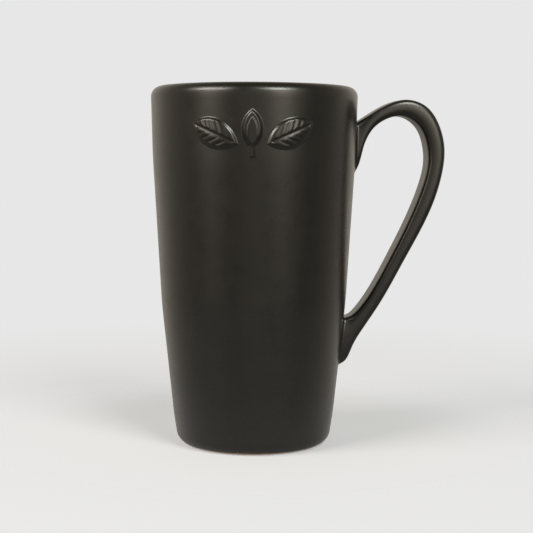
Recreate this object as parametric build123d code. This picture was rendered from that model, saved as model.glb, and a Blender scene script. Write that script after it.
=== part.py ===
from build123d import *
import os

# A tall tapered ceramic mug with one strap handle, luted on, glazed all over
# except for the ring it stands on.  Millimetres.  +Z is up, the origin is on the
# table at the centre of the foot, and the handle points along +X.

# ---- Driving dimensions: the wall -------------------------------------------
HEIGHT = 152.0             # table to the crest of the rim
HEEL_RADIUS = 32.4         # outer radius at the table, before the heel is rounded
STEP_HEIGHT = 13.0         # below this the wall turns in more towards the heel
STEP_RADIUS = 34.4         # outer radius there
BEND_HEIGHT = 60.0         # below this the wall flares more than above it
BEND_RADIUS = 39.4         # outer radius at the bend
SHOULDER_HEIGHT = 123.5    # above this the wall is almost upright
SHOULDER_RADIUS = 43.15    # outer radius at the shoulder
RIM_RADIUS = 43.9          # outer radius at the rim, before the rim is rounded
MOUTH_RADIUS = 37.85       # inner radius at the rim, before the rim is rounded
THROAT_HEIGHT = 128.0      # the inner wall is upright above this
WAIST_RADIUS = 34.5        # inner radius at the bend
FLOOR_RADIUS = 28.6        # inner radius at the floor, before the corner is rounded
FLOOR_HEIGHT = 9.0         # table to the inside floor

HEEL_ROUND = 5.6
STEP_ROUND = 60.0
BEND_ROUND = 250.0
SHOULDER_ROUND = 400.0
RIM_OUTER_ROUND = 4.3
RIM_INNER_ROUND = 1.4
FLOOR_ROUND = 8.5

# ---- Driving dimensions: the foot and the glaze ------------------------------
FOOT_INNER_RADIUS = 25.5   # the foot is a ring, and the base inside it is hollowed
RECESS_RADIUS = 25.0
RECESS_DEPTH = 2.5
FOOT_EDGE_ROUND = 0.3
GLAZE = 0.35               # thickness of the fired glaze
GLAZE_LINE = 1.0           # the clay is wiped bare below this height

# ---- Driving dimensions: the handle ------------------------------------------
STRAP_WIDTH = 13.5
STRAP_ROUND = 1.7          # rounding of the strap's four long edges
SLIP = 0.6                 # thickness of the slip that joins the handle to the wall

# The strap's two edges in its own plane, as (distance from the axis, height).
# Both run from inside the wall at the upper root to inside it at the lower root.
STRAP_OUTER_EDGE = [
    (40.5, 135.3),
    (44.0, 137.6),
    (46.5, 139.2),
    (49.5, 141.1),
    (55.5, 144.6),
    (64.6, 147.2),
    (74.0, 144.1),
    (80.4, 133.7),
    (81.9, 124.6),
    (80.2, 112.5),
    (75.5, 98.9),
    (64.6, 78.1),
    (53.1, 57.9),
    (46.7, 48.4),
    (42.3, 40.9),
    (39.2, 34.8),
    (35.5, 32.8),
]
STRAP_INNER_EDGE = [
    (40.2, 113.0),
    (44.0, 118.2),
    (46.4, 126.7),
    (50.5, 134.6),
    (57.6, 139.3),
    (64.0, 139.9),
    (69.3, 137.0),
    (73.1, 130.8),
    (74.5, 123.3),
    (73.3, 113.9),
    (68.7, 101.0),
    (58.6, 80.0),
    (48.5, 62.2),
    (44.5, 57.0),
    (42.1, 54.8),
    (39.4, 53.8),
    (36.3, 53.3),
]

# ---- Driving dimensions: the relief ------------------------------------------
RELIEF_RISE = 1.4          # how far the sprigs stand out from the glazed wall
RELIEF_AZIMUTH = -97.0     # degrees round from the handle
RELIEF_HEIGHT = 131.8      # table to the middle of the relief
LEAF_LENGTH = 21.0
LEAF_HALF_WIDTH = 5.8
LEAF_TILT = 24.0           # degrees that each leaf points up from level
LEAF_SWING = 20.5          # degrees round the wall from the bud to a leaf
BUD_LENGTH = 15.5
BUD_HALF_WIDTH = 4.2
BUD_LIFT = 1.8             # height of the bud's middle over the relief's middle
STEM_FOOT = -9.2           # height of the stem's lower end over the relief's middle
STEM_WIDTH = 2.6

CLEAR = 20.0               # how far cutting shapes run past what they cut


# ---- Half sections, drawn as (radius, height) --------------------------------
def half_section():
    """Right half of the whole glazed mug, without its handle."""
    corners = [
        (0, FLOOR_HEIGHT),
        (FLOOR_RADIUS, FLOOR_HEIGHT),
        (WAIST_RADIUS, BEND_HEIGHT),
        (MOUTH_RADIUS, THROAT_HEIGHT),
        (MOUTH_RADIUS, HEIGHT),
        (RIM_RADIUS, HEIGHT),
        (SHOULDER_RADIUS, SHOULDER_HEIGHT),
        (BEND_RADIUS, BEND_HEIGHT),
        (STEP_RADIUS, STEP_HEIGHT),
        (HEEL_RADIUS, 0),
        (FOOT_INNER_RADIUS, 0),
        (RECESS_RADIUS, RECESS_DEPTH),
        (0, RECESS_DEPTH),
    ]
    rounds = [
        FLOOR_ROUND,
        BEND_ROUND,
        BEND_ROUND,
        RIM_INNER_ROUND,
        RIM_OUTER_ROUND,
        SHOULDER_ROUND,
        BEND_ROUND,
        STEP_ROUND,
        HEEL_ROUND,
        FOOT_EDGE_ROUND,
        FOOT_EDGE_ROUND,
    ]
    outline = FilletPolyline(*corners, radius=rounds)
    return make_face(outline + Line(corners[-1], corners[0]))


def up_to_mid_wall():
    """Everything from the axis out to the middle of the wall, up to the rim's crest."""
    corners = [
        (0, 0),
        ((FOOT_INNER_RADIUS + HEEL_RADIUS) / 2, 0),
        ((WAIST_RADIUS + BEND_RADIUS) / 2, BEND_HEIGHT),
        (MOUTH_RADIUS + RIM_INNER_ROUND, HEIGHT),
        (0, HEIGHT),
    ]
    return make_face(Polyline(*corners, close=True))


def band(low, high):
    """Everything right of the axis from one height to another."""
    width = RIM_RADIUS + CLEAR
    return Pos(width / 2, (low + high) / 2) * Rectangle(width, high - low)


def grown(section, amount):
    """A half section grown by amount, or shrunk where amount is negative."""
    whole = section + mirror(section, about=Plane.YZ)
    return offset(whole, amount=amount) & band(-CLEAR, HEIGHT + CLEAR)


def turned(section):
    """Solid made by turning a half section about the axis, with its seam away from the handle."""
    return revolve(Rot(0, 0, 180) * (Plane.XZ * section), axis=Axis.Z)


# ---- The handle --------------------------------------------------------------
def strap_edge(points, inset, quarter_turn):
    """Smooth curve through points, moved by inset to one side of its own course."""
    course = Spline(*points)
    moved = []
    for point in points:
        sideways = course.tangent_at(point).rotate(Axis.Z, quarter_turn)
        moved.append(Vector(*point) + sideways * inset)
    return Spline(*moved)


def strap(inset):
    """The handle's strap, inset all round, with both ends left inside the wall."""
    outer = strap_edge(STRAP_OUTER_EDGE, inset, -90)
    inner = strap_edge(STRAP_INNER_EDGE, inset, 90)
    ends = Line(outer @ 0, inner @ 0) + Line(outer @ 1, inner @ 1)
    face = make_face(outer + inner + ends)
    width = STRAP_WIDTH - 2 * inset
    side = Plane.XZ.offset(-width / 2)
    blank = extrude(side * face, amount=width)
    root = max(edge.length for edge in ends.edges())
    long_edges = [edge for edge in blank.edges() if edge.length > 2 * root]
    return fillet(long_edges, STRAP_ROUND - inset)


# ---- The relief --------------------------------------------------------------
def leaf_outline(length, half_width):
    """Pointed oval lying along X, centred on the origin."""
    base = (-length / 2, 0)
    tip = (length / 2, 0)
    upper = ThreePointArc(base, (0, half_width), tip)
    lower = ThreePointArc(base, (0, -half_width), tip)
    return make_face(upper + lower)


def bud_outline():
    """Upright bud on a short stem, drawn about the relief's middle."""
    bud = Pos(0, BUD_LIFT) * Rot(0, 0, 90) * leaf_outline(BUD_LENGTH, BUD_HALF_WIDTH)
    stem_length = BUD_LIFT - STEM_FOOT
    stem = Pos(0, BUD_LIFT - stem_length / 2) * Rectangle(STEM_WIDTH, stem_length)
    return bud + stem


def facing(swing):
    """Plane through the axis, facing out swing degrees round from the relief's middle."""
    turn = Rot(0, 0, RELIEF_AZIMUTH + swing)
    level = Plane(origin=(0, 0, RELIEF_HEIGHT), x_dir=(0, 1, 0), z_dir=(1, 0, 0))
    return Plane((turn * level.location))


def pressed_on(outline, swing):
    """A flat outline carried straight out from the axis through the wall."""
    return extrude(facing(swing) * outline, amount=RIM_RADIUS + CLEAR)


# ---- The pieces --------------------------------------------------------------
def clay_section(section):
    """The half section without its glaze.  Below the glaze line it has none."""
    bare_foot = section & band(-CLEAR, GLAZE_LINE)
    return grown(section, -GLAZE) + bare_foot


def coated_mug(section, clay):
    """The clay body and the three coats of glaze on it."""
    coats = section - clay
    base = coats & band(-CLEAR, FLOOR_HEIGHT / 2) & up_to_mid_wall()
    inside = (coats & up_to_mid_wall()) - base
    outside = coats - up_to_mid_wall()
    return {
        "clay_body": turned(clay),
        "base_glaze": turned(base),
        "inner_glaze": turned(inside),
        "outer_glaze": turned(outside),
    }


def relief_sprigs(wall, limit):
    """Two leaves and a bud, from the clay wall out to the limit."""
    leaf = Rot(0, 0, LEAF_TILT) * leaf_outline(LEAF_LENGTH, LEAF_HALF_WIDTH)
    outlines = {
        "relief_leaf_left": (mirror(leaf, about=Plane.YZ), -LEAF_SWING),
        "relief_bud": (bud_outline(), 0),
        "relief_leaf_right": (leaf, LEAF_SWING),
    }
    sprigs = {}
    for name, (outline, swing) in outlines.items():
        sprigs[name] = (pressed_on(outline, swing) & limit) - wall
    return sprigs


def handle_pieces(wall, slip_limit, glazed_strap):
    """The handle, its coat of glaze, and the slip at its two roots."""
    clay_strap = strap(GLAZE)
    slip = (clay_strap & slip_limit) - wall
    lower_slip, upper_slip = slip.solids().sort_by(Axis.Z)
    return {
        "handle": clay_strap - slip_limit,
        "handle_glaze": glazed_strap - clay_strap - wall,
        "upper_joint_slip": upper_slip,
        "lower_joint_slip": lower_slip,
    }


def build():
    """Every piece of the mug, by node name."""
    section = half_section()
    clay = clay_section(section)
    whole = section + up_to_mid_wall()
    wall = turned(clay + up_to_mid_wall())
    slip_limit = turned(grown(whole, SLIP - GLAZE))
    relief_limit = turned(grown(whole, RELIEF_RISE))
    glazed_strap = strap(0)

    pieces = coated_mug(section, clay)
    sprigs = relief_sprigs(wall, relief_limit)
    for sprig in sprigs.values():
        pieces["outer_glaze"] -= sprig
    pieces["outer_glaze"] -= glazed_strap
    pieces.update(sprigs)
    pieces.update(handle_pieces(wall, slip_limit, glazed_strap))
    return pieces


os.makedirs("parts", exist_ok=True)
for name, piece in build().items():
    export_step(piece, f"parts/{name}.step")
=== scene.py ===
"""Looks of the tall ceramic mug: a satin charcoal glaze over stoneware, on a pale floor.

Everything is in the frame's own axes: +Z up, +X from the mug's axis towards the handle.
Sizes are written in millimetres of the 152 mm mug and multiplied by MM, which is one such
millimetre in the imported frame.
"""
import math

import bpy
import numpy as np
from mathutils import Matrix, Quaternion, Vector


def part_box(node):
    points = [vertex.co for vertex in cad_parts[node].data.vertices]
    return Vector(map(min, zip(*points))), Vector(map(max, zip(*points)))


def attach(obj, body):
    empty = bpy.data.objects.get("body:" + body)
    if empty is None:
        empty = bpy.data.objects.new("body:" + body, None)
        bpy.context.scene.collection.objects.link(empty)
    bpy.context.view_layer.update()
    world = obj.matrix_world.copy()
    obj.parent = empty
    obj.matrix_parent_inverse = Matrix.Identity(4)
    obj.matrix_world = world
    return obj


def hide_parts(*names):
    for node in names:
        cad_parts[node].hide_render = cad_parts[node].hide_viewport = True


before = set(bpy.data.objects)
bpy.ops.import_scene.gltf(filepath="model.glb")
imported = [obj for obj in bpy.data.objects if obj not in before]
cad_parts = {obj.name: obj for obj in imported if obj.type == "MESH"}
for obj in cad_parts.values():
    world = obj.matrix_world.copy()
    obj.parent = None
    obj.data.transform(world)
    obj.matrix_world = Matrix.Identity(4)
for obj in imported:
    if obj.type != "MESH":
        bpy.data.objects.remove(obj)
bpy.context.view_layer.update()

# ---- Sizes that come from the frame ----------------------------------------------------
COAT_LOW, COAT_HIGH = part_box("outer_glaze")
STRAP_LOW, STRAP_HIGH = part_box("handle_glaze")
CLAY_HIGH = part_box("clay_body")[1]
TALL = COAT_HIGH.z                        # table to the crest of the rim
MM = TALL / 152
GLAZE = COAT_HIGH.z - CLAY_HIGH.z         # thickness of the fired glaze
GLAZE_LINE = COAT_LOW.z                   # the clay is wiped bare below this height
STRAP_HALF_WIDTH = (STRAP_HIGH.y - STRAP_LOW.y) / 2
TOLERANCE = 1e-6                          # metres, under which two places count as the same

# ---- The wall: corners of its whole outline, as (radius, height, rounding) -------------
WALL_CORNERS = [
    (0, 2.5, 0),
    (25.0, 2.5, 0.3),
    (25.5, 0, 0.3),
    (32.4, 0, 5.6),
    (34.4, 13, 60),
    (39.4, 60, 250),
    (43.15, 123.5, 400),
    (43.9, 152, 4.3),
    (37.85, 152, 1.4),
    (37.85, 128, 250),
    (34.5, 60, 250),
    (28.6, 9, 8.5),
    (0, 9, 0),
]
CREST_RADIUS = 39.25 * MM                 # the outside and inside glaze meet here
FOOT_MIDDLE = 27.0 * MM                   # radius of a circle within the ring it stands on
FOOT_SETBACK = 0.12 * MM                  # the bare clay lies this far behind the glaze
PATH_STEP = 2.0 * MM                      # the outline's longest run between two points
CORNER_STEPS = 8                          # the fewest steps round one corner of it
EDGE_STEPS = 7                            # steps round the rolled edge of a coat
SEGMENTS = 256                            # points in each ring round the mug's axis

# ---- The handle: rungs from its outer edge to its inner edge, from the upper root down -
# Each row is (outer distance from the axis, outer height, inner distance, inner height).
STRAP_RUNGS = [
    (40.5, 135.3, 40.2, 113.0),
    (44.0, 137.6, 44.0, 118.2),
    (46.5, 139.2, 46.4, 126.7),
    (49.5, 141.1, 50.5, 134.6),
    (55.5, 144.6, 57.6, 139.3),
    (64.6, 147.2, 64.0, 139.9),
    (74.0, 144.1, 69.3, 137.0),
    (80.4, 133.7, 73.1, 130.8),
    (81.9, 124.6, 74.5, 123.3),
    (80.2, 112.5, 73.3, 113.9),
    (75.5, 98.9, 68.7, 101.0),
    (64.6, 78.1, 58.6, 80.0),
    (53.1, 57.9, 48.5, 62.2),
    (46.7, 48.4, 44.5, 57.0),
    (42.3, 40.9, 42.1, 54.8),
    (39.2, 34.8, 39.4, 53.8),
    (35.5, 32.8, 36.3, 53.3),
]
NARROW_POWER = 2.6                        # roundness of the strap's two narrow sides; 2 is an oval
WIDE_POWER = 7.0                          # flatness of its two wide faces
WIDE_TO_THICK = 2                         # the strap is about twice as wide as it is thick
OVAL_SAMPLES = 4001                       # points from which the evenly spaced ones are taken
STATIONS = 260                            # rings of points along the strap
AROUND = 80                               # points in each of them
UPPER_FILLET = 1.2 * MM                   # how far the slip's fillet reaches at the upper root
LOWER_FILLET = 1.0 * MM                   # and at the lower root
FILLET_ROWS = 10

# ---- The raised sprig ------------------------------------------------------------------
SPRIG_AZIMUTH = -97.0                     # degrees round from the handle
SPRIG_HEIGHT = 131.8 * MM                 # table to the middle of the sprig
SPRIG_ROWS = 150                          # rows of points along each leaf and the bud
SPRIG_COLUMNS = 41                        # points in each row
# The sprig's other lengths are in plain millimetres, and become metres in sprig_piece.
SPRIG_RISE = 1.36                         # how far it stands out from the wall
EDGE_SOFT = 2.0                           # width of its sloping edge
EDGE_MARGIN = 0.45                        # how much of that slope lies outside the outline
EDGE_SINK = 0.01                          # how far the edge lies under the wall's surface
TIP_HALF_WIDTH = 0.04                     # each tip is this narrow, not quite a point
LEAF_LENGTH = 21.0
LEAF_HALF_WIDTH = 5.8
LEAF_REACH = LEAF_LENGTH / 2 + 0.8        # half the length of a leaf with its sloping edge
LEAF_TILT = 24.0                          # degrees that each leaf points up from level
LEAF_SWING = 20.5                         # degrees round the wall from the bud to a leaf
LEAF_SWELL = 0.28                         # share of the rise that swells towards the midrib
VEIN_WIDTH = 0.75                         # about half of what a vein measures across
VEIN_SPACING = 3.1                        # from one side vein to the next
VEIN_SLANT = 0.9                          # how steeply the side veins lean along the leaf
VEIN_START = 0.5                          # the veins begin this far inside the edge
VEIN_FADE = 1.5                           # and are at full depth this much further in
MIDRIB_DEPTH = 0.36
SIDE_VEIN_DEPTH = 0.13
BUD_LENGTH = 15.5
BUD_HALF_WIDTH = 4.2
BUD_REACH = BUD_LENGTH / 2 + 0.6          # half the length of the bud with its sloping edge
BUD_LIFT = 1.8                            # height of the bud's middle over the sprig's middle
STEM_HALF_WIDTH = 1.3
STEM_FOOT = -9.2                          # the stem's lower end, from the sprig's middle
STEM_ROUND = 1.2                          # length over which that end rounds off
PETAL_LENGTH = 0.78 * BUD_LENGTH          # the front petal, which stands proud of the bud
PETAL_HALF_WIDTH = 0.52 * BUD_HALF_WIDTH
PETAL_DROP = 1.2                          # how far its middle lies below the bud's
PETAL_RISE = 0.2                          # share of the bud's rise that is the petal
PETAL_SOFT = 0.9                          # width of the petal's sloping edge
PETAL_MARGIN = 0.3                        # how much of that slope lies outside its outline

# ---- The glaze and the clay ------------------------------------------------------------
GLAZE_DARK = (0.0066, 0.0060, 0.0048)
GLAZE_LIGHT = (0.0086, 0.0077, 0.0062)
GLAZE_SPECK = (0.0150, 0.0125, 0.0095)
GLAZE_CLOUD_SIZE = 14 * MM
GLAZE_SPECK_SIZE = 0.5 * MM
GLAZE_SPECK_NOISE = (0.66, 0.74)          # specks show where their noise is higher than this
GLAZE_IOR = 1.5
OUTSIDE_ROUGHNESS = 0.29
INSIDE_ROUGHNESS = 0.28
ROUGHNESS_SPREAD = 0.03                   # how far the roughness strays from these, each way
GLOSS_PATCH_SIZE = 6 * MM
RIPPLE_SIZE = 5 * MM
RIPPLE_DEPTH = 0.05 * MM
RIPPLE_STRENGTH = 0.3
PEBBLE_SIZE = 0.35 * MM
PEBBLE_DEPTH = 0.01 * MM
PEBBLE_STRENGTH = 0.35
CLAY_LIGHT = (0.52, 0.37, 0.23)
CLAY_DARK = (0.40, 0.27, 0.165)
CLAY_GRAIN = (0.20, 0.13, 0.08)
CLAY_CLOUD_SIZE = 5 * MM
CLAY_GRAIN_SIZE = 0.4 * MM
CLAY_GRAIN_NOISE = (0.62, 0.70)           # grains show where their noise is higher than this
CLAY_ROUGHNESS = (0.78, 0.92)
CLAY_PATCH_SIZE = 1.5 * MM                # of its rougher and smoother patches
SAND_SIZE = 0.3 * MM
SAND_DEPTH = 0.04 * MM
SAND_STRENGTH = 0.6
COMMON_NOISE = (0.3, 0.7)                 # most of a noise's values lie between these

# ---- The camera and the studio: degrees, and metres ------------------------------------
CAMERA_AZIMUTH = -96.0                    # where the camera stands, round from the handle
CAMERA_DISTANCE = 550 * MM                # from the mug's axis
CAMERA_HEIGHT = 121.9 * MM
CAMERA_HEADING = 83.434                   # which way it looks, round from the handle
CAMERA_PITCH = -4.81
CAMERA_ROLL = -0.25
CAMERA_LENS = 86.8                        # millimetres
CAMERA_NEAR = 0.01                        # nothing nearer than this is seen
FLOOR_COLOUR = (0.62, 0.63, 0.67)
FLOOR_ROUGHNESS = 0.9
FLOOR_SIDES = 96
FLOOR_BEHIND = 0.03                       # how far the floor's middle lies behind the mug
FLOOR_NEAR = 0.60                         # share of the floor that shows near its middle
FLOOR_FAR = 0.33                          # share that shows further out
FLOOR_THINS = (0.06, 0.13)                # how far out the first share turns into the second
FLOOR_FADES = (0.14, 0.40)                # how far out the floor starts and ends its fade
BACKDROP = (0.80, 0.80, 0.80)
SOFTBOX_DISTANCE = 1.5                    # from the middle of the mug
# Rows are (name, degrees round from the camera, elevation, size, watts, colour).
SOFTBOXES = [
    ("key_left", -55, 40, (0.8, 0.5), 19, (1.0, 0.95, 0.86)),
    ("key_right", 30, 42, (0.55, 0.5), 17, (0.98, 1.0, 0.91)),
]
ROOM_LIGHT = 0.02
GLOW_COLOUR = (1.0, 0.91, 0.78)
# Soft glows round the room: (degrees round from the camera, elevation, spread, brightness).
GLOWS = [
    (-50, 13, 10, 4.5),
    (-42, 4, 16, 0.3),
    (0, 4, 17, 0.7),
    (42, 4, 16, 0.45),
    (31, 13, 9, 7.0),
    (90, 5, 24, 0.22),
    (135, 5, 28, 0.7),
    (180, 20, 30, 0.5),
    (225, 5, 28, 0.7),
    (270, 5, 24, 0.34),
]


# ---- Curves ----------------------------------------------------------------------------
def rounded(corners):
    """Points along a line of (across, up, rounding) corners, with each corner rounded."""
    points = [np.array(corners[0][:2], float)]
    for before, corner, after in zip(corners, corners[1:], corners[2:]):
        here = np.array(corner[:2], float)
        back = unit(np.array(before[:2]) - here)
        ahead = unit(np.array(after[:2]) - here)
        half_angle = math.acos(back @ ahead) / 2
        centre = here + unit(back + ahead) * corner[2] / math.sin(half_angle)
        first = here + back * corner[2] / math.tan(half_angle) - centre
        across = np.array([-first[1], first[0]])
        across *= math.copysign(1, -(across @ back))
        swing = math.pi - 2 * half_angle
        count = max(CORNER_STEPS, int(corner[2] * swing * MM / PATH_STEP))
        for angle in np.linspace(0, swing, count + 1):
            points.append(centre + first * math.cos(angle) + across * math.sin(angle))
    points.append(np.array(corners[-1][:2], float))
    return subdivided(np.array(points) * MM, PATH_STEP)


def subdivided(points, step):
    """The same line with its long runs divided, so that no run is over step."""
    pieces = [points[:1]]
    for start, end in zip(points, points[1:]):
        count = max(1, math.ceil(np.linalg.norm(end - start) / step))
        shares = np.arange(1, count + 1)[:, None] / count
        pieces.append(start + (end - start) * shares)
    return np.concatenate(pieces)


def unit(vectors):
    """Vectors one unit long that point the same ways."""
    return vectors / np.linalg.norm(vectors, axis=-1, keepdims=True)


def beside(path, amount):
    """The path moved by amount to the left of its own course."""
    along = unit(np.gradient(path, axis=0))
    return path + np.stack([-along[:, 1], along[:, 0]], axis=1) * amount


def smooth_curve(points, count):
    """Natural cubic spline through the points, as count points evenly spaced along it."""
    points = np.array(points, float)
    knots = np.concatenate([[0], np.cumsum(np.linalg.norm(np.diff(points, axis=0), axis=1))])
    gaps = np.diff(knots)
    slopes = np.diff(points, axis=0) / gaps[:, None]
    size = len(points)
    matrix = np.eye(size)
    right = np.zeros_like(points)
    for i in range(1, size - 1):
        matrix[i, i - 1:i + 2] = gaps[i - 1], 2 * (gaps[i - 1] + gaps[i]), gaps[i]
        right[i] = 6 * (slopes[i] - slopes[i - 1])
    bends = np.linalg.solve(matrix, right)
    places = np.linspace(0, knots[-1], count)
    spans = np.clip(np.searchsorted(knots, places, side="right") - 1, 0, size - 2)
    left = (places - knots[spans])[:, None]
    rest = (knots[spans + 1] - places)[:, None]
    gap = gaps[spans][:, None]
    cubic = (bends[spans] * rest ** 3 + bends[spans + 1] * left ** 3) / (6 * gap)
    start = (points[spans] / gap - bends[spans] * gap / 6) * rest
    end = (points[spans + 1] / gap - bends[spans + 1] * gap / 6) * left
    return cubic + start + end


# ---- Meshes ----------------------------------------------------------------------------
def signed_volume(mesh):
    """Volume inside a closed mesh, below zero where its faces point inwards."""
    mesh.calc_loop_triangles()
    corners = np.empty(len(mesh.loop_triangles) * 3, dtype=np.int32)
    mesh.loop_triangles.foreach_get("vertices", corners)
    places = np.empty(len(mesh.vertices) * 3, dtype=np.float32)
    mesh.vertices.foreach_get("co", places)
    first, second, third = places.reshape(-1, 3)[corners.reshape(-1, 3)].transpose(1, 0, 2)
    return np.sum(first * np.cross(second, third)) / 6


def new_piece(name, points, faces, material, sharp_points=()):
    """A smooth-shaded object, creased where two neighbouring points are both sharp."""
    mesh = bpy.data.meshes.new(name)
    mesh.from_pydata(np.asarray(points).tolist(), [], faces)
    mesh.validate()
    if signed_volume(mesh) < 0:
        mesh.flip_normals()
    mesh.shade_smooth()
    sharp = set(sharp_points)
    if sharp:
        flags = [e.vertices[0] in sharp and e.vertices[1] in sharp for e in mesh.edges]
        mesh.attributes.new("sharp_edge", "BOOLEAN", "EDGE").data.foreach_set("value", flags)
    mesh.materials.append(material)
    piece = bpy.data.objects.new(name, mesh)
    bpy.context.scene.collection.objects.link(piece)
    return piece


def ring_faces(rows, columns):
    """Quads between rows of points, where each row closes on itself."""
    faces = []
    for row in range(rows - 1):
        for column in range(columns):
            beside_it = (column + 1) % columns
            low, high = row * columns, (row + 1) * columns
            faces.append((low + column, low + beside_it, high + beside_it, high + column))
    return faces


def looped_faces(rows, columns):
    """The same quads, where the last row also joins the first."""
    points = rows * columns
    return [tuple(point % points for point in face) for face in ring_faces(rows + 1, columns)]


def lathe(name, loop, material, corners=()):
    """Solid of revolution of a closed loop of (radius, height) points.

    The rings of the loop's points whose indices are in corners are creased.
    """
    points = []
    rings = []
    for radius, height in loop:
        turns = np.arange(SEGMENTS if radius > TOLERANCE else 1) * math.tau / SEGMENTS
        first = len(points)
        points.extend((radius * np.cos(a), radius * np.sin(a), height) for a in turns)
        rings.append([first + i % len(turns) for i in range(SEGMENTS)])
    faces = []
    for ring, following in zip(rings, rings[1:] + rings[:1]):
        for i in range(SEGMENTS):
            j = (i + 1) % SEGMENTS
            face = list(dict.fromkeys([ring[i], ring[j], following[j], following[i]]))
            if len(face) > 2:
                faces.append(face)
    sharp = [point for corner in corners for point in rings[corner]]
    return new_piece(name, points, faces, material, sharp)


# ---- The wall and its coats ------------------------------------------------------------
WALL_PATH = rounded(WALL_CORNERS)
# The frame's outer coat is faceted, a hair narrower than a true circle, and the wall fits in it.
WALL_PATH[:, 0] *= COAT_HIGH.y / WALL_PATH[:, 0].max()


def wall_radius(heights):
    """Outer radius of the glazed wall at each height."""
    outside = WALL_PATH[WALL_PATH[:, 0] > FOOT_MIDDLE]
    rising = outside[: int(np.argmax(outside[:, 1] > TALL - TOLERANCE)) + 1]
    return np.interp(heights, rising[:, 1], rising[:, 0])


def cut_path():
    """The wall's outline in four runs: base, bare foot, outside, inside."""
    radius, height = WALL_PATH.T
    foot = np.flatnonzero(height < GLAZE_LINE)
    on_crest = (height > TALL - TOLERANCE) & (radius < CREST_RADIUS + TOLERANCE)
    crest = np.flatnonzero(on_crest)[0]
    inner_edge = at_line(WALL_PATH[foot[0] - 1], WALL_PATH[foot[0]])
    outer_edge = at_line(WALL_PATH[foot[-1]], WALL_PATH[foot[-1] + 1])
    base = np.vstack([WALL_PATH[: foot[0]], inner_edge])
    bare = np.vstack([inner_edge, WALL_PATH[foot], outer_edge])
    outside = np.vstack([outer_edge, WALL_PATH[foot[-1] + 1: crest + 1]])
    return base, bare, outside, WALL_PATH[crest:]


def at_line(start, end):
    """The point between two others that lies at the glaze line."""
    share = (GLAZE_LINE - start[1]) / (end[1] - start[1])
    return start + (end - start) * share


def rolled_edge(surface_point, clay_point):
    """Half round that closes the edge of a coat, from its surface to the clay."""
    middle = (surface_point + clay_point) / 2
    spoke = surface_point - middle
    ahead = np.array([-spoke[1], spoke[0]])
    if ahead[1] > 0:
        ahead = -ahead
    turns = np.linspace(0, math.pi, EDGE_STEPS + 1)[1:-1, None]
    return middle + spoke * np.cos(turns) + ahead * np.sin(turns)


def coat(name, path, material, rolled_at_start, rolled_at_end):
    """A coat of glaze on the clay along one run of the wall's outline."""
    backing = beside(path, GLAZE)
    loop = [path]
    if rolled_at_end:
        loop.append(rolled_edge(path[-1], backing[-1]))
    loop.append(backing[::-1])
    corners = []
    if not rolled_at_end:
        corners = [len(path) - 1, len(path)]
    if rolled_at_start:
        loop.append(rolled_edge(path[0], backing[0])[::-1])
    else:
        corners += [0, sum(map(len, loop)) - 1]
    return lathe(name, np.vstack(loop), material, corners)


def clay_body(material):
    """The clay: bare and set back at the foot, and one glaze thickness back elsewhere."""
    base, bare, outside, inside = cut_path()
    loop = np.vstack([
        beside(base, GLAZE)[:-1],
        beside(bare, FOOT_SETBACK),
        beside(outside, GLAZE)[1:],
        beside(inside, GLAZE)[1:],
    ])
    foot = range(len(base) - 1, len(base) - 1 + len(bare))
    loop[foot, 1] = np.maximum(loop[foot, 1] - FOOT_SETBACK, 0)
    return lathe("clay_wall_and_foot", loop, material, [foot[0], foot[-1]])


# ---- The handle ------------------------------------------------------------------------
def strap_rings(inset):
    """Rings of points round the strap, from the upper root to the lower one, inset all round."""
    rungs = smooth_curve(np.array(STRAP_RUNGS) * MM, STATIONS)
    outer, inner = rungs[:, :2], rungs[:, 2:]
    middle = (outer + inner) / 2
    half = (outer - inner) / 2
    reach = half - unit(half) * inset
    across, along = oval_section().T
    rings = np.empty((STATIONS, AROUND, 3))
    rings[:, :, 0] = middle[:, :1] + reach[:, :1] * across
    rings[:, :, 1] = (STRAP_HALF_WIDTH - inset) * along
    rings[:, :, 2] = middle[:, 1:] + reach[:, 1:] * across
    return rings


def oval_section():
    """Squared-off oval one unit to each side, as points evenly spaced round the real strap."""
    turns = np.linspace(0, math.tau, OVAL_SAMPLES)
    cosine, sine = np.cos(turns), np.sin(turns)
    across = np.sign(cosine) * np.abs(cosine) ** (2 / NARROW_POWER)
    along = np.sign(sine) * np.abs(sine) ** (2 / WIDE_POWER)
    lengths = np.hypot(np.diff(across), WIDE_TO_THICK * np.diff(along))
    travelled = np.concatenate([[0], np.cumsum(lengths)])
    places = np.arange(AROUND) / AROUND * travelled[-1]
    spaced = [np.interp(places, travelled, values) for values in (across, along)]
    return np.stack(spaced, axis=1)


def handle_core(material):
    """The clay of the handle, closed at both ends inside the wall."""
    rings = strap_rings(GLAZE)
    faces = ring_faces(STATIONS, AROUND)
    faces.append(tuple(range(AROUND))[::-1])
    faces.append(tuple(range((STATIONS - 1) * AROUND, STATIONS * AROUND)))
    return new_piece("handle_clay", rings.reshape(-1, 3), faces, material)


def handle_coat(material):
    """The glaze on the handle, as a sleeve over its clay."""
    rings = np.concatenate([strap_rings(0), strap_rings(GLAZE)[::-1]])
    faces = looped_faces(len(rings), AROUND)
    ends = [0, STATIONS - 1, STATIONS, 2 * STATIONS - 1]
    sharp = [end * AROUND + i for end in ends for i in range(AROUND)]
    return new_piece("handle_coat", rings.reshape(-1, 3), faces, material, sharp)


def off_wall(points):
    """How far points stand out from the glazed wall."""
    radius = np.hypot(points[..., 0], points[..., 1])
    return radius - wall_radius(points[..., 2])


def onto_wall(points, lift=0.0):
    """Points moved straight out from the axis, or in to it, until they stand lift off the wall."""
    moved = points.copy()
    radius = np.hypot(points[..., 0], points[..., 1])
    scale = (wall_radius(points[..., 2]) + lift) / radius
    moved[..., 0] *= scale
    moved[..., 1] *= scale
    return moved


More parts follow.
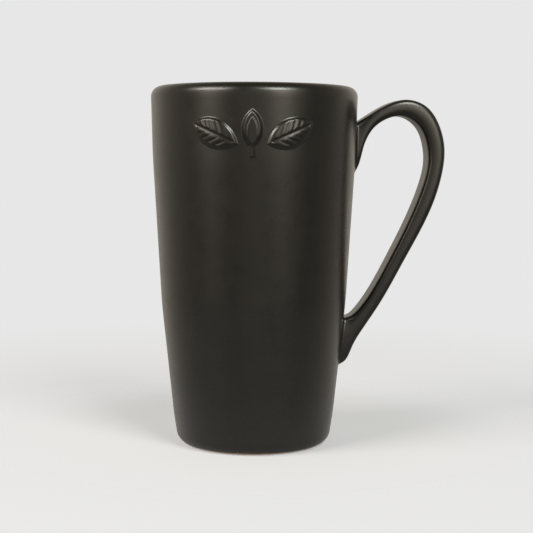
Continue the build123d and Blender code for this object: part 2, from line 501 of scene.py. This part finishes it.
def where_off(line, amount):
    """The place where a line that starts inside the wall first stands amount off it."""
    gaps = off_wall(line)
    i = int(np.argmax(gaps >= amount))
    share = (amount - gaps[i - 1]) / (gaps[i] - gaps[i - 1])
    return line[i - 1] + (line[i] - line[i - 1]) * share


def root_fillet(name, rings, reach, material):
    """The ring of slip, glazed over, that fills the corner between the strap and the wall.

    The rings start inside the wall and run out along the strap.
    """
    lines = [rings[:, column] for column in range(AROUND)]
    corner = np.array([where_off(line, 0) for line in lines])
    on_strap = np.array([where_off(line, reach) for line in lines])
    outward = unit(corner * [1, 1, 0])
    along_root = unit(np.roll(corner, -1, axis=0) - np.roll(corner, 1, axis=0))
    away = unit(np.cross(along_root, outward))
    centre = corner.mean(axis=0)
    away *= np.sign(np.sum(away * (corner - centre), axis=1, keepdims=True))
    on_wall = onto_wall(corner + away * reach)
    shares = np.linspace(0, 1, FILLET_ROWS)[:, None, None]
    curve = on_strap * (1 - shares) ** 2 + on_wall * shares ** 2
    curve += corner * 2 * shares * (1 - shares)
    inside = corner - outward * GLAZE - away * GLAZE
    rows = np.concatenate([curve, inside[None]])
    faces = looped_faces(len(rows), AROUND)
    sharp = [row * AROUND + i for row in (0, FILLET_ROWS - 1) for i in range(AROUND)]
    return new_piece(name, rows.reshape(-1, 3), faces, material, sharp)


# ---- The raised sprig ------------------------------------------------------------------
def ramp(values, width):
    """Smooth rise from 0 to 1 as values go from 0 to width."""
    share = np.clip(values / width, 0, 1)
    return share ** 3 * (share * (share * 6 - 15) + 10)


def leaf_depth(along, across, length, half_width):
    """How far a point lies inside the edge of a pointed oval."""
    radius = (length ** 2 / 4 + half_width ** 2) / (2 * half_width)
    return radius - np.hypot(along, np.abs(across) + radius - half_width)


def leaf_spread(along, length, half_width):
    """Half the width of a pointed oval at each place along it."""
    radius = (length ** 2 / 4 + half_width ** 2) / (2 * half_width)
    return np.sqrt(np.maximum(radius ** 2 - along ** 2, 0)) - (radius - half_width)


def vein(distance):
    """Depth of a vein at a distance from its middle, as a share of its full depth."""
    return np.exp(-(distance / VEIN_WIDTH) ** 2)


def leaf_height(along, across):
    """Height of a leaf: two swelling halves, a midrib groove and slanting side veins."""
    depth = leaf_depth(along, across, LEAF_LENGTH, LEAF_HALF_WIDTH)
    swell = 1 - LEAF_SWELL + LEAF_SWELL * ramp(depth, LEAF_HALF_WIDTH)
    body = ramp(depth + EDGE_MARGIN, EDGE_SOFT) * swell
    midrib = MIDRIB_DEPTH * vein(across)
    phase = (along - np.abs(across) * VEIN_SLANT) / VEIN_SPACING
    side_veins = SIDE_VEIN_DEPTH * vein((phase - np.round(phase)) * VEIN_SPACING)
    veins = np.maximum(midrib, side_veins) * ramp(depth - VEIN_START, VEIN_FADE)
    return SPRIG_RISE * body - veins


def leaf_edge(along):
    """Half the width of a leaf, with its sloping edge, at each place along it."""
    return leaf_spread(along, 2 * LEAF_REACH, LEAF_HALF_WIDTH + EDGE_MARGIN)


def bud_height(along, across):
    """Height of the bud and its stem, with one petal standing proud of the bud."""
    bud = leaf_depth(along - BUD_LIFT, across, BUD_LENGTH, BUD_HALF_WIDTH)
    stem = STEM_HALF_WIDTH - np.abs(across) - np.maximum(STEM_FOOT - along, 0)
    depth = np.maximum(bud, np.where(along > BUD_LIFT, -np.inf, stem))
    body = ramp(depth + EDGE_MARGIN, EDGE_SOFT)
    petal = leaf_depth(along - BUD_LIFT + PETAL_DROP, across, PETAL_LENGTH, PETAL_HALF_WIDTH)
    proud = ramp(petal + PETAL_MARGIN, PETAL_SOFT)
    return SPRIG_RISE * ((1 - PETAL_RISE) * body + PETAL_RISE * proud)


def bud_edge(along):
    """Half the width of the bud and its stem, with their sloping edges, at each height."""
    bud = leaf_spread(along - BUD_LIFT, 2 * BUD_REACH, BUD_HALF_WIDTH + EDGE_MARGIN)
    rising = np.clip((along - STEM_FOOT + EDGE_MARGIN) / STEM_ROUND, 0, 1)
    stem = (STEM_HALF_WIDTH + EDGE_MARGIN) * np.sqrt(rising * (2 - rising))
    stem = np.where(along > BUD_LIFT, 0, stem)
    return np.maximum(bud, stem)


def slab_faces(rows, columns):
    """Faces of a slab whose front and back are each a grid of points, and the points on its rim."""
    count = rows * columns
    faces = []
    for row in range(rows - 1):
        for column in range(columns - 1):
            a = row * columns + column
            b = a + columns
            faces.append((a, a + 1, b + 1, b))
            faces.append((count + a, count + b, count + b + 1, count + a + 1))
    rim = [row * columns for row in range(rows)]
    rim += [(rows - 1) * columns + column for column in range(1, columns)]
    rim += [row * columns + columns - 1 for row in range(rows - 2, -1, -1)]
    rim += [column for column in range(columns - 2, 0, -1)]
    for a, b in zip(rim, rim[1:] + rim[:1]):
        faces.append((a, b, count + b, count + a))
    return faces, rim + [count + i for i in rim]


def sprig_piece(name, swing, tilt, ends, edge, height, material):
    """A raised shape on the wall, closed behind at the clay.

    It lies along a line tilted up from level.  The function edge gives half its width along
    that line, and the function height gives how far it stands off the wall.
    """
    rows, columns = SPRIG_ROWS, SPRIG_COLUMNS
    along = np.linspace(ends[0], ends[1], rows)[:, None] * np.ones(columns)
    across = np.linspace(-1, 1, columns)[None, :] * np.maximum(edge(along), TIP_HALF_WIDTH)
    turn = math.radians(tilt)
    right = (along * math.cos(turn) - across * math.sin(turn)) * MM
    up = SPRIG_HEIGHT + (along * math.sin(turn) + across * math.cos(turn)) * MM
    facing = math.radians(SPRIG_AZIMUTH + swing)
    bearing = facing + np.arcsin(right / wall_radius(up))
    flat = np.stack([np.cos(bearing), np.sin(bearing), up], axis=-1)
    lift = (height(along, across) - EDGE_SINK) * MM
    front = onto_wall(flat, lift)
    back = onto_wall(flat, -GLAZE)
    points = np.concatenate([front.reshape(-1, 3), back.reshape(-1, 3)])
    faces, rim = slab_faces(rows, columns)
    return new_piece(name, points, faces, material, rim)


# ---- Materials -------------------------------------------------------------------------
def new_material(name):
    """A material with one Principled shader, with its node tree and that shader."""
    material = bpy.data.materials.new(name)
    material.use_nodes = True
    tree = material.node_tree
    tree.nodes.clear()
    output = tree.nodes.new("ShaderNodeOutputMaterial")
    shader = tree.nodes.new("ShaderNodeBsdfPrincipled")
    tree.links.new(shader.outputs["BSDF"], output.inputs["Surface"])
    return material, tree, shader


def noise(tree, size, detail):
    """Noise in object coordinates, whose blots are about size across."""
    coordinates = tree.nodes.new("ShaderNodeTexCoord")
    texture = tree.nodes.new("ShaderNodeTexNoise")
    texture.inputs["Scale"].default_value = 1 / size
    texture.inputs["Detail"].default_value = detail
    tree.links.new(coordinates.outputs["Object"], texture.inputs["Vector"])
    return texture.outputs["Fac"]


def spread_over(tree, value, low, high, source=COMMON_NOISE):
    """A value mapped from its source range to the range from low to high, and held within it."""
    node = tree.nodes.new("ShaderNodeMapRange")
    node.inputs["From Min"].default_value = source[0]
    node.inputs["From Max"].default_value = source[1]
    node.inputs["To Min"].default_value = low
    node.inputs["To Max"].default_value = high
    tree.links.new(value, node.inputs["Value"])
    return node.outputs["Result"]


def blend_colours(tree, factor, first, second):
    """Mix of two colours, each one a constant or another node's output."""
    node = tree.nodes.new("ShaderNodeMix")
    node.data_type = "RGBA"
    tree.links.new(factor, node.inputs["Factor"])
    for socket, colour in ((node.inputs["A"], first), (node.inputs["B"], second)):
        if isinstance(colour, tuple):
            socket.default_value = (*colour, 1)
        else:
            tree.links.new(colour, socket)
    return node.outputs["Result"]


def arithmetic(tree, operation, *values):
    """A Math node on numbers and other nodes' outputs."""
    node = tree.nodes.new("ShaderNodeMath")
    node.operation = operation
    for socket, value in zip(node.inputs, values):
        if isinstance(value, (int, float)):
            socket.default_value = value
        else:
            tree.links.new(value, socket)
    return node.outputs[0]


def bump(tree, height, distance, strength, under=None):
    """Surface normal for a bump of a given height, on top of another bump if there is one."""
    node = tree.nodes.new("ShaderNodeBump")
    node.inputs["Distance"].default_value = distance
    node.inputs["Strength"].default_value = strength
    tree.links.new(height, node.inputs["Height"])
    if under is not None:
        tree.links.new(under, node.inputs["Normal"])
    return node.outputs["Normal"]


def satin_glaze(name, roughness):
    """Charcoal satin glaze: clouded colour and gloss, fine pebbled surface, faint iron specks."""
    material, tree, shader = new_material(name)
    clouds = spread_over(tree, noise(tree, GLAZE_CLOUD_SIZE, detail=3), 0, 1)
    speck_noise = noise(tree, GLAZE_SPECK_SIZE, detail=1)
    specks = spread_over(tree, speck_noise, 0, 1, GLAZE_SPECK_NOISE)
    glaze_colour = blend_colours(tree, clouds, GLAZE_DARK, GLAZE_LIGHT)
    colour = blend_colours(tree, specks, glaze_colour, GLAZE_SPECK)
    tree.links.new(colour, shader.inputs["Base Color"])
    smooth, rough = roughness - ROUGHNESS_SPREAD, roughness + ROUGHNESS_SPREAD
    gloss = spread_over(tree, noise(tree, GLOSS_PATCH_SIZE, detail=4), smooth, rough)
    tree.links.new(gloss, shader.inputs["Roughness"])
    ripple_noise = noise(tree, RIPPLE_SIZE, detail=1)
    ripple = bump(tree, ripple_noise, RIPPLE_DEPTH, RIPPLE_STRENGTH)
    pebble_noise = noise(tree, PEBBLE_SIZE, detail=2)
    pebble = bump(tree, pebble_noise, PEBBLE_DEPTH, PEBBLE_STRENGTH, ripple)
    tree.links.new(pebble, shader.inputs["Normal"])
    shader.inputs["IOR"].default_value = GLAZE_IOR
    return material


def bare_clay(name):
    """Bare fired stoneware: matte, sandy, with darker grains."""
    material, tree, shader = new_material(name)
    clouds = spread_over(tree, noise(tree, CLAY_CLOUD_SIZE, detail=4), 0, 1)
    grain_noise = noise(tree, CLAY_GRAIN_SIZE, detail=2)
    grains = spread_over(tree, grain_noise, 0, 1, CLAY_GRAIN_NOISE)
    clay_colour = blend_colours(tree, clouds, CLAY_LIGHT, CLAY_DARK)
    colour = blend_colours(tree, grains, clay_colour, CLAY_GRAIN)
    tree.links.new(colour, shader.inputs["Base Color"])
    dryness = spread_over(tree, noise(tree, CLAY_PATCH_SIZE, detail=3), *CLAY_ROUGHNESS)
    tree.links.new(dryness, shader.inputs["Roughness"])
    sand = bump(tree, noise(tree, SAND_SIZE, detail=4), SAND_DEPTH, SAND_STRENGTH)
    tree.links.new(sand, shader.inputs["Normal"])
    return material


OUTSIDE_GLAZE = satin_glaze("outside_satin_glaze", OUTSIDE_ROUGHNESS)
INSIDE_GLAZE = satin_glaze("inside_satin_glaze", INSIDE_ROUGHNESS)
CLAY = bare_clay("bare_stoneware")


# ---- The pieces ------------------------------------------------------------------------
def place(piece, node):
    """The piece rides on the mug and takes the place of a CAD node."""
    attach(piece, "root")
    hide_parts(node)


def build_wall():
    """The clay body and the three coats of glaze on it."""
    base, bare, outside, inside = cut_path()
    place(clay_body(CLAY), "clay_body")
    place(coat("base_coat", base, OUTSIDE_GLAZE, False, True), "base_glaze")
    place(coat("outer_coat", outside, OUTSIDE_GLAZE, True, False), "outer_glaze")
    place(coat("inner_coat", inside, INSIDE_GLAZE, False, False), "inner_glaze")


def build_handle():
    """The handle's clay and its glaze, and the fillet at each of its roots."""
    place(handle_core(CLAY), "handle")
    place(handle_coat(OUTSIDE_GLAZE), "handle_glaze")
    rings = strap_rings(0)
    upper = root_fillet("upper_root_fillet", rings, UPPER_FILLET, OUTSIDE_GLAZE)
    lower = root_fillet("lower_root_fillet", rings[::-1], LOWER_FILLET, OUTSIDE_GLAZE)
    place(upper, "upper_joint_slip")
    place(lower, "lower_joint_slip")


def build_sprig():
    """Two leaves, and a bud on a stem between them."""
    ends = (-LEAF_REACH, LEAF_REACH)
    left = sprig_piece("sprig_leaf_left", -LEAF_SWING, 180 - LEAF_TILT, ends,
                       leaf_edge, leaf_height, OUTSIDE_GLAZE)
    right = sprig_piece("sprig_leaf_right", LEAF_SWING, LEAF_TILT, ends,
                        leaf_edge, leaf_height, OUTSIDE_GLAZE)
    bud = sprig_piece("sprig_bud", 0, 90, (STEM_FOOT - EDGE_MARGIN, BUD_LIFT + BUD_REACH),
                      bud_edge, bud_height, OUTSIDE_GLAZE)
    place(left, "relief_leaf_left")
    place(right, "relief_leaf_right")
    place(bud, "relief_bud")


# ---- The studio ------------------------------------------------------------------------
def direction(azimuth, elevation):
    """Unit vector that points out at an azimuth and up at an elevation, in degrees."""
    turn = math.radians(azimuth)
    lift = math.radians(elevation)
    level = math.cos(lift)
    return Vector((math.cos(turn) * level, math.sin(turn) * level, math.sin(lift)))


def pale_floor():
    """Round flat floor, partly see-through, that fades out so that no horizon shows.

    The pale backdrop shows through it, which leaves the mug's shadows faint.
    """
    material, tree, shader = new_material("pale_floor")
    shader.inputs["Base Color"].default_value = (*FLOOR_COLOUR, 1)
    shader.inputs["Roughness"].default_value = FLOOR_ROUGHNESS
    coordinates = tree.nodes.new("ShaderNodeTexCoord")
    middle = direction(CAMERA_AZIMUTH + 180, 0) * FLOOR_BEHIND
    distance = tree.nodes.new("ShaderNodeVectorMath")
    distance.operation = "DISTANCE"
    distance.inputs[1].default_value = middle
    tree.links.new(coordinates.outputs["Object"], distance.inputs[0])
    from_middle = distance.outputs["Value"]
    share = spread_over(tree, from_middle, FLOOR_NEAR, FLOOR_FAR, FLOOR_THINS)
    fade = spread_over(tree, from_middle, 1, 0, FLOOR_FADES)
    for slope in (share, fade):
        slope.node.interpolation_type = "SMOOTHSTEP"
    tree.links.new(arithmetic(tree, "MULTIPLY", share, fade), shader.inputs["Alpha"])
    angles = [360 * i / FLOOR_SIDES for i in range(FLOOR_SIDES)]
    ring = [tuple(middle + direction(angle, 0) * FLOOR_FADES[1]) for angle in angles]
    new_piece("floor", ring, [tuple(range(FLOOR_SIDES))], material)


def softbox(name, azimuth, elevation, size, power, colour):
    """Rectangular area light that points at the middle of the mug."""
    data = bpy.data.lights.new(name, "AREA")
    data.shape = "RECTANGLE"
    data.size, data.size_y = size
    data.energy = power
    data.color = colour
    lamp = bpy.data.objects.new(name, data)
    target = Vector((0, 0, TALL / 2))
    lamp.location = target + direction(CAMERA_AZIMUTH + azimuth, elevation) * SOFTBOX_DISTANCE
    lamp.rotation_euler = (target - lamp.location).to_track_quat("-Z", "Y").to_euler()
    bpy.context.scene.collection.objects.link(lamp)


def glow(tree, look, azimuth, elevation, spread, strength):
    """Soft patch of light in the surroundings, half as bright spread degrees from its middle."""
    towards = tree.nodes.new("ShaderNodeVectorMath")
    towards.operation = "DOT_PRODUCT"
    towards.inputs[1].default_value = direction(CAMERA_AZIMUTH + azimuth, elevation)
    tree.links.new(look, towards.inputs[0])
    fall = math.log(2) / (1 - math.cos(math.radians(spread)))
    depth = arithmetic(tree, "MULTIPLY_ADD", towards.outputs["Value"], fall, -fall)
    return arithmetic(tree, "MULTIPLY", arithmetic(tree, "EXPONENT", depth), strength)


def surroundings():
    """A dim room with soft glows round it.  The camera itself sees a plain pale backdrop."""
    world = bpy.data.worlds.new("studio")
    world.use_nodes = True
    tree = world.node_tree
    look = tree.nodes.new("ShaderNodeTexCoord").outputs["Generated"]
    light = ROOM_LIGHT
    for patch in GLOWS:
        light = arithmetic(tree, "ADD", glow(tree, look, *patch), light)
    seen = tree.nodes.new("ShaderNodeLightPath").outputs["Is Camera Ray"]
    background = tree.nodes["Background"]
    tree.links.new(blend_colours(tree, seen, GLOW_COLOUR, BACKDROP), background.inputs["Color"])
    unseen = arithmetic(tree, "SUBTRACT", 1, seen)
    strength = arithmetic(tree, "MULTIPLY_ADD", light, unseen, seen)
    tree.links.new(strength, background.inputs["Strength"])
    bpy.context.scene.world = world


def camera():
    """The scene's camera, at the photograph's angle."""
    data = bpy.data.cameras.new("camera")
    data.lens = CAMERA_LENS
    data.clip_start = CAMERA_NEAR
    made = bpy.data.objects.new("camera", data)
    made.location = direction(CAMERA_AZIMUTH, 0) * CAMERA_DISTANCE + Vector((0, 0, CAMERA_HEIGHT))
    look = direction(CAMERA_HEADING, CAMERA_PITCH)
    level = look.to_track_quat("-Z", "Y")
    made.rotation_euler = (Quaternion(look, math.radians(CAMERA_ROLL)) @ level).to_euler()
    bpy.context.scene.collection.objects.link(made)
    bpy.context.scene.camera = made


# ---- The whole scene -------------------------------------------------------------------
build_wall()
build_handle()
build_sprig()
pale_floor()
for box in SOFTBOXES:
    softbox(*box)
surroundings()
camera()
bpy.context.scene.view_settings.view_transform = "Standard"
